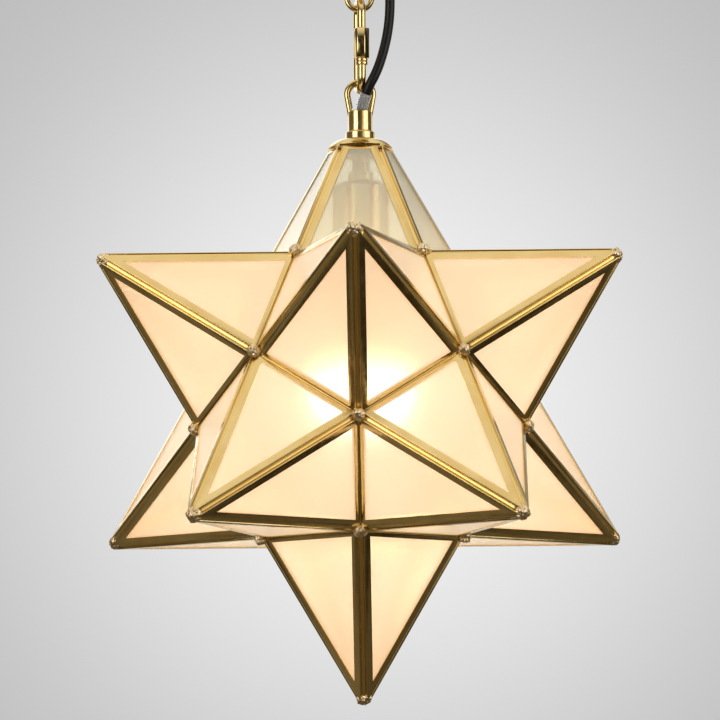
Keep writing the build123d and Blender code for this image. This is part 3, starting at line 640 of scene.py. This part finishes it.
@dataclass
class SeamSolder:
    """Solder along the seams between the channels: flat strips on the ridges, thin lines in the valleys."""

    tip_mm: float = 184.0
    cut_mm: float = 150.0
    ridge_depth_mm: float = 2.1
    ridge_radius_mm: float = 1.12
    ridge_flat: float = 0.28
    valley_depth_mm: float = 0.62
    valley_radius_mm: float = 0.5
    door_radius_mm: float = 0.33
    step_mm: float = 4.0
    sides: int = 14
    lump_mm: float = 16.0
    lump_height_mm: float = 0.06
    ridge_from_corner_mm: float = 2.5
    ridge_from_tip_mm: float = 9.0
    ridge_from_cut_mm: float = 1.5
    valley_from_corner_mm: float = 2.4
    hinge_reach: float = 0.02
    same_corner_mm: float = 1.0
    door_point: str = "upper_2"
    lean: float = math.degrees(math.atan(0.5))
    hinge_middle: Vector = field(default_factory=lambda: Vector((0.0305, 0.042, -0.2644)))

    def run_line(self, start: Vector, end: Vector, facing: Vector, radius_mm: float,
                 flat: float = 1.0) -> bpy.types.Object:
        """Makes one line of solder, in short steps so that it can be uneven.

        Args:
            start: Its one end in metres.
            end: Its other end.
            facing: The way that its flatter side faces, across its length.
            radius_mm: Half its width.
            flat: Its thickness as a share of its width.

        Returns:
            The new object.
        """
        along = end - start
        depth, run = facing.normalized(), along.normalized()
        turn = Matrix((depth, run.cross(depth), run)).transposed()
        bpy.ops.object.select_all(action="DESELECT")
        bpy.ops.mesh.primitive_cylinder_add(
            vertices=self.sides, radius=mm(radius_mm), depth=along.length, location=(start + end) / 2,
            rotation=turn.to_euler(), scale=(flat, 1.0, 1.0))
        obj = bpy.context.object
        bpy.ops.object.transform_apply(location=True, rotation=True, scale=True)
        bpy.ops.object.mode_set(mode="EDIT")
        bpy.ops.mesh.select_mode(type="EDGE")
        bpy.ops.mesh.select_all(action="DESELECT")
        body = bmesh.from_edit_mesh(obj.data)
        for edge in body.edges:
            edge.select_set(edge.calc_length() > along.length / 2)
        bmesh.update_edit_mesh(obj.data)
        bpy.ops.mesh.subdivide(number_cuts=max(1, round(along.length / mm(self.step_mm))))
        bpy.ops.object.mode_set(mode="OBJECT")
        return obj

    @staticmethod
    def in_frame(spot: Vector) -> Vector:
        """A spot in millimetres from the star's centre, in metres in the shared frame."""
        return STAR_CENTRE + spot / 1000

    def points(self) -> dict[str, tuple[Vector, list[Vector]]]:
        """Finds each point's axis and the five corners of its base.

        Returns:
            Name to the unit axis and the corners, in millimetres from the star's centre.
        """
        def direction(azimuth: float, elevation: float) -> Vector:
            """The unit vector at an azimuth from the front and an elevation, both in degrees."""
            a, e = math.radians(azimuth), math.radians(elevation)
            return Vector((math.sin(a) * math.cos(e), -math.cos(a) * math.cos(e), math.sin(e)))

        base = self.tip_mm / math.sqrt(5)
        wide = (self.tip_mm - base) / 2 / math.cos(math.radians(STEP / 2))
        found = {"top": (direction(0, 90), direction(STEP / 2, 0)), "bottom": (direction(0, -90), direction(0, 0))}
        for i in range(SIDES):
            up, low = STEP * i, STEP * (i + 0.5)
            found[f"upper_{i}"] = (direction(up, self.lean), direction(up, self.lean - 90))
            found[f"lower_{i}"] = (direction(low, -self.lean), direction(low, 90 - self.lean))
        made = {}
        for name, (axis, first) in found.items():
            second = axis.cross(first)
            turns = [math.radians(STEP * k) for k in range(SIDES)]
            made[name] = (axis, [axis * base + (first * math.cos(t) + second * math.sin(t)) * wide for t in turns])
        return made

    def build(self, finishes: Finishes) -> None:
        """Runs solder along every ridge and valley, the hinged point's ridges as a piece of their own.

        Args:
            finishes: Finishes of the light.
        """
        lines: dict[Body, list[bpy.types.Object]] = {Body.STAR: [], Body.DOOR: []}
        seen: set[tuple[int, int, int]] = set()
        points = self.points()
        door = points[self.door_point][1]
        for name, (axis, corners) in points.items():
            owner = Body.DOOR if name == self.door_point else Body.STAR
            for k, corner in enumerate(corners):
                tip = axis * self.tip_mm
                run = (tip - corner).normalized()
                inward = (axis * axis.dot(corner) - corner).normalized()
                inward = (inward - run * inward.dot(run)).normalized() * self.ridge_depth_mm
                share = (self.cut_mm - corner.z) / (self.tip_mm - corner.z) if name == "top" else 1.0
                short = self.ridge_from_cut_mm if name == "top" else self.ridge_from_tip_mm
                length = (tip - corner).length * share - short
                start = corner + run * self.ridge_from_corner_mm + inward
                end = corner + run * length + inward
                lines[owner].append(self.run_line(
                    self.in_frame(start), self.in_frame(end), inward, self.ridge_radius_mm, self.ridge_flat))
                after = corners[(k + 1) % SIDES]
                middle = (corner + after) / 2
                key = tuple(round(v) for v in middle)
                hinge = (self.in_frame(middle) - self.hinge_middle).length < self.hinge_reach
                if key in seen or hinge:
                    continue
                seen.add(key)
                at_door = all(
                    any((c - end).length < self.same_corner_mm for c in door) for end in (corner, after))
                drop = middle.normalized() * self.valley_depth_mm
                edge = (after - corner).normalized() * self.valley_from_corner_mm
                lines[Body.STAR].append(self.run_line(
                    self.in_frame(corner + edge - drop), self.in_frame(after - edge - drop), drop,
                    self.door_radius_mm if at_door else self.valley_radius_mm))
        for owner, pieces in lines.items():
            bpy.ops.object.select_all(action="DESELECT")
            for piece in pieces:
                piece.select_set(True)
            bpy.context.view_layer.objects.active = pieces[0]
            bpy.ops.object.join()
            obj = bpy.context.object
            obj.name = f"seam_solder_{owner.value}"
            roughen(obj, self.lump_mm, self.lump_height_mm)
            bpy.ops.object.shade_smooth()
            dress(obj, finishes.seam)
            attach(obj, owner.value)
            LOG.info("%s: %d lines", obj.name, len(pieces))


@dataclass
class Hardware:
    """Brass cap, loops, links and canopy, and the pieces inside them."""

    brass: tuple[str, ...] = (
        "top_plate", "cap_dome", "loop_collar", "star_loop", "cap_nut", "star_nipple", "chain_link_lower",
        "chain_link_upper", "quick_link", "canopy", "canopy_collar", "canopy_loop", "bracket_nut",
        "canopy_nipple")
    satin: tuple[str, ...] = ("holder_cap", "holder_shell")
    contact: tuple[str, ...] = ("screw_shell", "centre_contact", "bulb_contact")
    sleeve_edge_mm: float = 0.45

    def build(self, finishes: Finishes) -> None:
        """Builds the quick link's sleeve with rounded corners between its flats.

        Args:
            finishes: Finishes of the light.
        """
        sleeve = own_copy("quick_link_sleeve", "hex_sleeve", Body.SLEEVE)
        round_folds(sleeve, self.sleeve_edge_mm)
        dress(sleeve, finishes.turned)

    def dress(self, finishes: Finishes) -> None:
        """Gives each piece its finish.

        Args:
            finishes: Finishes of the light.
        """
        for name in self.brass:
            dress(cad(name), finishes.brass)
        for name in self.satin:
            dress(cad(name), finishes.satin)
        for name in self.contact:
            dress(cad(name), finishes.contact)
        dress(cad("holder_core"), finishes.phenolic)
        dress(cad("terminal_block"), finishes.polyamide)
        dress(cad("ceiling_bracket"), finishes.zinc)
        dress(cad("bulb_cap"), finishes.cap_metal)
        dress(cad("bulb_globe"), finishes.lamp)


def smooth_line(route: list[tuple[float, float, float]]) -> list[Vector]:
    """Runs a smooth line along a route.

    Args:
        route: Points in metres, which the line starts and ends on and else is drawn towards.

    Returns:
        Close points along the line, read from one spline.
    """
    curve = bpy.data.curves.new("flex_route", "CURVE")
    curve.dimensions = "3D"
    curve.resolution_u = ROUTE_STEPS
    spline = curve.splines.new("NURBS")
    spline.points.add(len(route) - 1)
    for point, place in zip(spline.points, route):
        point.co = (*place, 1.0)
    spline.order_u = ROUTE_ORDER
    spline.use_endpoint_u = True
    holder = bpy.data.objects.new("flex_route", curve)
    bpy.context.scene.collection.objects.link(holder)
    bpy.context.view_layer.update()
    line = bpy.data.meshes.new_from_object(holder.evaluated_get(bpy.context.evaluated_depsgraph_get()))
    points = [vertex.co.copy() for vertex in line.vertices]
    bpy.data.objects.remove(holder)
    bpy.data.curves.remove(curve)
    bpy.data.meshes.remove(line)
    return points


def rings(line: list[Vector]) -> list[tuple[Vector, Vector, Vector]]:
    """Turns each point of a line into a cross-section that doesn't twist.

    Args:
        line: Points along the line.

    Returns:
        Each point with two directions across the line.
    """
    across = Vector((1, 0, 0))
    made = []
    for i, point in enumerate(line):
        along = (line[min(i + 1, len(line) - 1)] - line[max(i - 1, 0)]).normalized()
        across = (across - along * across.dot(along)).normalized()
        made.append((point, across.copy(), along.cross(across)))
    return made


def tube(name: str, sections: list[tuple[Vector, Vector, Vector]], outer: float,
         bore: float | None = None, sides: int = 24) -> bpy.types.Object:
    """Makes a tube or a bar along cross-sections.

    Args:
        name: Name of the piece.
        sections: Cross-sections from rings().
        outer: Outer radius in metres.
        bore: Inner radius in metres, or None for a bar.
        sides: Faces round it.

    Returns:
        The new object, smooth, with closed ends.
    """
    verts, faces = [], []
    walls = [outer] if bore is None else [outer, bore]
    for wall in walls:
        for point, u, v in sections:
            for k in range(sides):
                turn = 2 * math.pi * k / sides
                verts.append(point + (u * math.cos(turn) + v * math.sin(turn)) * wall)
    length = len(sections)
    for w in range(len(walls)):
        for i in range(length - 1):
            for k in range(sides):
                a = (w * length + i) * sides + k
                b = (w * length + i) * sides + (k + 1) % sides
                quad = (a, b, b + sides, a + sides)
                faces.append(quad if w == 0 else quad[::-1])
    for end in (0, length - 1):
        if bore is None:
            cap = [end * sides + k for k in range(sides)]
            faces.append(cap[::-1] if end == 0 else cap)
            continue
        for k in range(sides):
            a, b = end * sides + k, end * sides + (k + 1) % sides
            ring = (a, b, b + length * sides, a + length * sides)
            faces.append(ring[::-1] if end == 0 else ring)
    mesh = bpy.data.meshes.new(name)
    mesh.from_pydata(verts, [], faces)
    obj = bpy.data.objects.new(name, mesh)
    bpy.context.scene.collection.objects.link(obj)
    select_only(obj)
    bpy.ops.object.shade_smooth_by_angle(angle=math.radians(FOLD_ANGLE))
    return obj


@dataclass
class FlexStretch:
    """One stretch of the flex, listed with the bodies and heights of the chain joint at its place."""

    name: str
    from_body: Body
    to_body: Body
    bend_from: float
    bend_to: float


@dataclass
class Flex:
    """Black flex from the star's loop to the canopy's, and the clear sleeve at its lower end."""

    radius_mm: float = 2.9
    tube_radius_mm: float = 3.65
    tube_play_mm: float = 0.1
    tube_start_mm: float = 14.2
    tube_length_mm: float = 10.2
    mirror_z: float = -0.1087
    rising: tuple[tuple[float, float, float], ...] = (
        (0.0, 0.0, -0.1876), (0.0, 0.0, -0.1763), (0.0042, -0.0088, -0.1639), (0.0101, -0.0094, -0.1534),
        (0.0139, -0.0082, -0.1421), (0.0168, -0.0072, -0.1296), (0.0183, -0.007, -0.1166))
    stretches: tuple[FlexStretch, ...] = (
        FlexStretch("flex_at_star", Body.STAR, Body.QUICK_LINK, -0.1644, -0.1504),
        FlexStretch("flex_at_quick_link", Body.QUICK_LINK, Body.LOWER_LINK, -0.1284, -0.1094),
        FlexStretch("flex_at_lower_link", Body.LOWER_LINK, Body.UPPER_LINK, -0.0994, -0.0754),
        FlexStretch("flex_at_canopy", Body.UPPER_LINK, Body.CEILING, -0.0674, -0.0504))

    def build(self, finishes: Finishes) -> None:
        """Builds the stretches and the clear sleeve, dresses them, and hangs the sleeve on the star.

        Args:
            finishes: Finishes of the light.
        """
        line = smooth_line(list(self.rising) + [(x, y, 2 * self.mirror_z - z) for x, y, z in reversed(self.rising)])
        sections = rings(line)
        run = [0.0]
        for before, after in zip(line, line[1:]):
            run.append(run[-1] + (after - before).length)
        count = len(self.stretches)
        share = run[-1] / count
        marks = [min(range(len(run)), key=lambda i: abs(run[i] - share * k)) for k in range(count + 1)]
        radius = mm(self.radius_mm)
        start, end = mm(self.tube_start_mm), mm(self.tube_start_mm + self.tube_length_mm)
        inside = [section for section, at in zip(sections, run) if start <= at <= end]
        sleeve = tube("clear_tube_on_flex", inside, mm(self.tube_radius_mm), radius + mm(self.tube_play_mm))
        dress(sleeve, finishes.tube)
        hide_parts("clear_sleeve")
        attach(sleeve, Body.STAR.value)
        for stretch, low, high in zip(self.stretches, marks, marks[1:]):
            obj = tube(stretch.name, sections[low:high + 1], radius)
            dress(obj, finishes.sheath)
            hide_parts("flex_cord")
            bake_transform(obj)
            LOG.info("%s: %.1f mm", obj.name, 1000 * (run[high] - run[low]))
        LOG.info("flex: %.1f mm in all", 1000 * run[-1])


@dataclass
class FlexEnds:
    """The flex inside the two nipples, and its cores from the canopy's nipple to the terminal block."""

    radius_mm: float = 2.9
    core_radius_mm: float = 0.8
    core_sides: int = 16
    step_mm: float = 1.5
    brown_core: tuple[tuple[float, float, float], ...] = (
        (-0.0009, 0.0005, -0.012), (-0.0009, 0.0003, -0.004), (-0.0006, -0.003, -0.0016), (0.0005, -0.009, -0.0016),
        (0.0035, -0.013, -0.0035), (0.0085, -0.0145, -0.01), (0.0122, -0.0138, -0.0145), (0.013, -0.009, -0.015),
        (0.013, -0.003, -0.015))
    blue_core: tuple[tuple[float, float, float], ...] = (
        (0.0009, -0.0005, -0.012), (0.0009, -0.0002, -0.004), (0.0016, -0.0032, -0.0017), (0.0045, -0.009, -0.0017),
        (0.0095, -0.0132, -0.0035), (0.0175, -0.015, -0.01), (0.0238, -0.014, -0.0145), (0.025, -0.009, -0.015),
        (0.025, -0.003, -0.015))

    def build(self, finishes: Finishes) -> None:
        """Builds both ends and the two cores, dresses them and hangs them on their bodies.

        Args:
            finishes: Finishes of the light.
        """
        for node, name, body in (("lamp_flex", "flex_in_star", Body.STAR),
                                 ("ceiling_flex", "flex_in_canopy", Body.CEILING)):
            low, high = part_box(node)
            count = round((high[2] - low[2]) / mm(self.step_mm))
            line = [Vector((0, 0, low[2] + (high[2] - low[2]) * i / count)) for i in range(count + 1)]
            obj = tube(name, rings(line), mm(self.radius_mm))
            dress(obj, finishes.sheath)
            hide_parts(node)
            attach(obj, body.value)
        for name, route, finish in (("brown_core", self.brown_core, finishes.brown_core),
                                    ("blue_core", self.blue_core, finishes.blue_core)):
            obj = tube(name, rings(smooth_line(list(route))), mm(self.core_radius_mm), sides=self.core_sides)
            dress(obj, finish)
            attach(obj, Body.CEILING.value)


@dataclass
class Camera:
    """The photograph's viewpoint: a long lens a little below the star, with the star low in the frame."""

    distance: float = 2.614
    azimuth: float = 1.2
    elevation: float = -6.84
    roll: float = 0.39
    lens: float = 221.79
    sensor: float = 36.0
    centre_px: tuple[float, float] = (362.1, 401.3)
    frame_px: float = 720.0
    clip_end: float = 50.0

    def build(self) -> None:
        """Makes the camera and hands it to the scene."""
        a, e = math.radians(self.azimuth), math.radians(self.elevation)
        back = Vector((math.sin(a) * math.cos(e), -math.cos(a) * math.cos(e), math.sin(e)))
        data = bpy.data.cameras.new("camera")
        data.lens, data.sensor_width = self.lens, self.sensor
        data.shift_x = (self.frame_px / 2 - self.centre_px[0]) / self.frame_px
        data.shift_y = (self.centre_px[1] - self.frame_px / 2) / self.frame_px
        data.clip_end = self.clip_end
        obj = bpy.data.objects.new("camera", data)
        turned = (-back).to_track_quat("-Z", "Y").to_matrix() @ Matrix.Rotation(math.radians(-self.roll), 3, "Z")
        obj.matrix_world = Matrix.Translation(STAR_CENTRE + back * self.distance) @ turned.to_4x4()
        bpy.context.scene.collection.objects.link(obj)
        bpy.context.scene.camera = obj


@dataclass(frozen=True)
class SoftBox:
    """A square soft box that faces the star: name, centre and side in metres, power in watts."""

    name: str
    place: tuple[float, float, float]
    size: float
    power: float

    def build(self) -> None:
        """Builds the lamp and turns it to the star."""
        data = bpy.data.lights.new(self.name, "AREA")
        data.energy, data.size = self.power, self.size
        obj = bpy.data.objects.new(self.name, data)
        obj.location = self.place
        obj.rotation_euler = (STAR_CENTRE - Vector(self.place)).to_track_quat("-Z", "Y").to_euler()
        bpy.context.scene.collection.objects.link(obj)


@dataclass
class Studio:
    """Pale floor and background, soft boxes, and a room for the metal to mirror.

    The room is dark, with a pale ceiling, a pale backdrop and a window on either side of the camera.
    """

    floor_z: float = -0.95
    floor_size: float = 90.0
    middle: str = "#F4F4F5"
    edge: str = "#BDBDBD"
    middle_direction: tuple[float, float, float] = (-0.018, 0.9934, 0.119)
    edge_at: float = 0.137
    ambient: float = 0.45
    dark_wall: str = "#30281C"
    pale_wall: str = "#7A705C"
    wall_scale: float = 2.2
    dark_below: float = 0.35
    pale_above: float = 0.7
    ceiling: str = "#FFF6E6"
    ceiling_from: float = 0.45
    ceiling_to: float = 0.85
    backdrop: str = "#D6D4CF"
    backdrop_from: float = 0.78
    backdrop_to: float = 0.97
    window: str = "#FFF4DC"
    window_direction: tuple[float, float, float] = (0.588, 0.809, 0.0)
    window_from: float = 0.93
    window_to: float = 0.98
    soft_boxes: tuple[SoftBox, ...] = (
        SoftBox("soft_box_left", place=(-1.3, -1.4, 0.05), size=1.25, power=9.5),
        SoftBox("soft_box_right", place=(1.56, -0.9, 0.05), size=1.3, power=9.5),
        SoftBox("soft_box_rear", place=(-0.4, 1.8, 0.6), size=1.2, power=5.0))

    def build(self) -> None:
        """Builds the world, the floor and the lamps."""
        bpy.context.scene.view_settings.view_transform = "Standard"
        self.surroundings()
        self.floor()
        for box in self.soft_boxes:
            box.build()

    def surroundings(self) -> None:
        """Builds the world: a pale gradient behind the light, a darker room in the metal, plain soft light."""
        world = bpy.data.worlds.new("studio")
        bpy.context.scene.world = world
        world.use_nodes = True
        tree = world.node_tree
        tree.nodes.clear()
        look = add_node(tree, "ShaderNodeTexCoord").outputs["Generated"]
        away = add_node(tree, "ShaderNodeVectorMath", {0: look, 1: self.middle_direction}, operation="DISTANCE")
        fall = add_node(tree, "ShaderNodeMapRange", {
            "Value": away.outputs["Value"], "From Max": self.edge_at}, interpolation_type="SMOOTHSTEP")
        grey = add_node(tree, "ShaderNodeMix", {
            "Factor": fall.outputs["Result"], "A": linear(self.middle), "B": linear(self.edge)}, data_type="RGBA")
        height = add_node(tree, "ShaderNodeSeparateXYZ", {"Vector": look})
        above = add_node(tree, "ShaderNodeMapRange", {
            "Value": height.outputs["Z"], "From Min": self.ceiling_from, "From Max": self.ceiling_to},
            interpolation_type="SMOOTHSTEP")
        patches = add_node(tree, "ShaderNodeTexNoise", {"Vector": look, "Scale": self.wall_scale, "Detail": 2.0})
        patch = add_node(tree, "ShaderNodeMapRange", {
            "Value": patches.outputs["Fac"], "From Min": self.dark_below, "From Max": self.pale_above},
            interpolation_type="SMOOTHSTEP")
        walls = add_node(tree, "ShaderNodeMix", {
            "Factor": patch.outputs["Result"], "A": linear(self.dark_wall), "B": linear(self.pale_wall)},
            data_type="RGBA")
        room = add_node(tree, "ShaderNodeMix", {
            "Factor": above.outputs["Result"], "A": walls.outputs["Result"], "B": linear(self.ceiling)},
            data_type="RGBA")
        behind = add_node(tree, "ShaderNodeMapRange", {
            "Value": height.outputs["Y"], "From Min": self.backdrop_from, "From Max": self.backdrop_to},
            interpolation_type="SMOOTHSTEP")
        room = add_node(tree, "ShaderNodeMix", {
            "Factor": behind.outputs["Result"], "A": room.outputs["Result"], "B": linear(self.backdrop)},
            data_type="RGBA")
        both_sides = add_node(tree, "ShaderNodeVectorMath", {0: look}, operation="ABSOLUTE")
        toward = add_node(tree, "ShaderNodeVectorMath", {
            0: both_sides.outputs["Vector"], 1: self.window_direction}, operation="DOT_PRODUCT")
        windows = add_node(tree, "ShaderNodeMapRange", {
            "Value": toward.outputs["Value"], "From Min": self.window_from, "From Max": self.window_to},
            interpolation_type="SMOOTHSTEP")
        room = add_node(tree, "ShaderNodeMix", {
            "Factor": windows.outputs["Result"], "A": room.outputs["Result"], "B": linear(self.window)},
            data_type="RGBA")
        rays = add_node(tree, "ShaderNodeLightPath")
        mirrored = add_node(tree, "ShaderNodeMath", {
            0: rays.outputs["Is Glossy Ray"], 1: rays.outputs["Is Transmission Ray"]},
            operation="SUBTRACT", use_clamp=True)
        shown = add_node(tree, "ShaderNodeMix", {
            "Factor": mirrored.outputs["Value"], "A": grey.outputs["Result"], "B": room.outputs["Result"]},
            data_type="RGBA")
        sharp = add_node(tree, "ShaderNodeMath", {
            0: rays.outputs["Is Glossy Ray"], 1: rays.outputs["Is Transmission Ray"]}, operation="MAXIMUM")
        seen = add_node(tree, "ShaderNodeMath", {
            0: rays.outputs["Is Camera Ray"], 1: sharp.outputs["Value"]}, operation="MAXIMUM")
        level = add_node(tree, "ShaderNodeMapRange", {"Value": seen.outputs["Value"], "To Min": self.ambient})
        back = add_node(tree, "ShaderNodeBackground", {
            "Color": shown.outputs["Result"], "Strength": level.outputs["Result"]})
        add_node(tree, "ShaderNodeOutputWorld", {"Surface": back.outputs["Background"]})

    def floor(self) -> None:
        """Builds the pale floor, well below the star, which the metal doesn't mirror."""
        bpy.ops.object.select_all(action="DESELECT")
        bpy.ops.mesh.primitive_plane_add(size=self.floor_size, location=(0, 0, self.floor_z))
        obj = bpy.context.object
        obj.name = "floor"
        dress(obj, FloorFinish().build())
        obj.visible_glossy = False


def main() -> None:
    """Builds the light and its studio in order."""
    logging.basicConfig(level=logging.INFO, format="%(name)s: %(message)s")
    Camera().build()
    finishes = Finishes.build()
    Flex().build(finishes)
    FlexEnds().build(finishes)
    shade = StarShade()
    shade.build(finishes)
    shade.dress(finishes)
    SeamSolder().build(finishes)
    hardware = Hardware()
    hardware.build(finishes)
    hardware.dress(finishes)
    Studio().build()


if __name__ == "__main__":
    main()
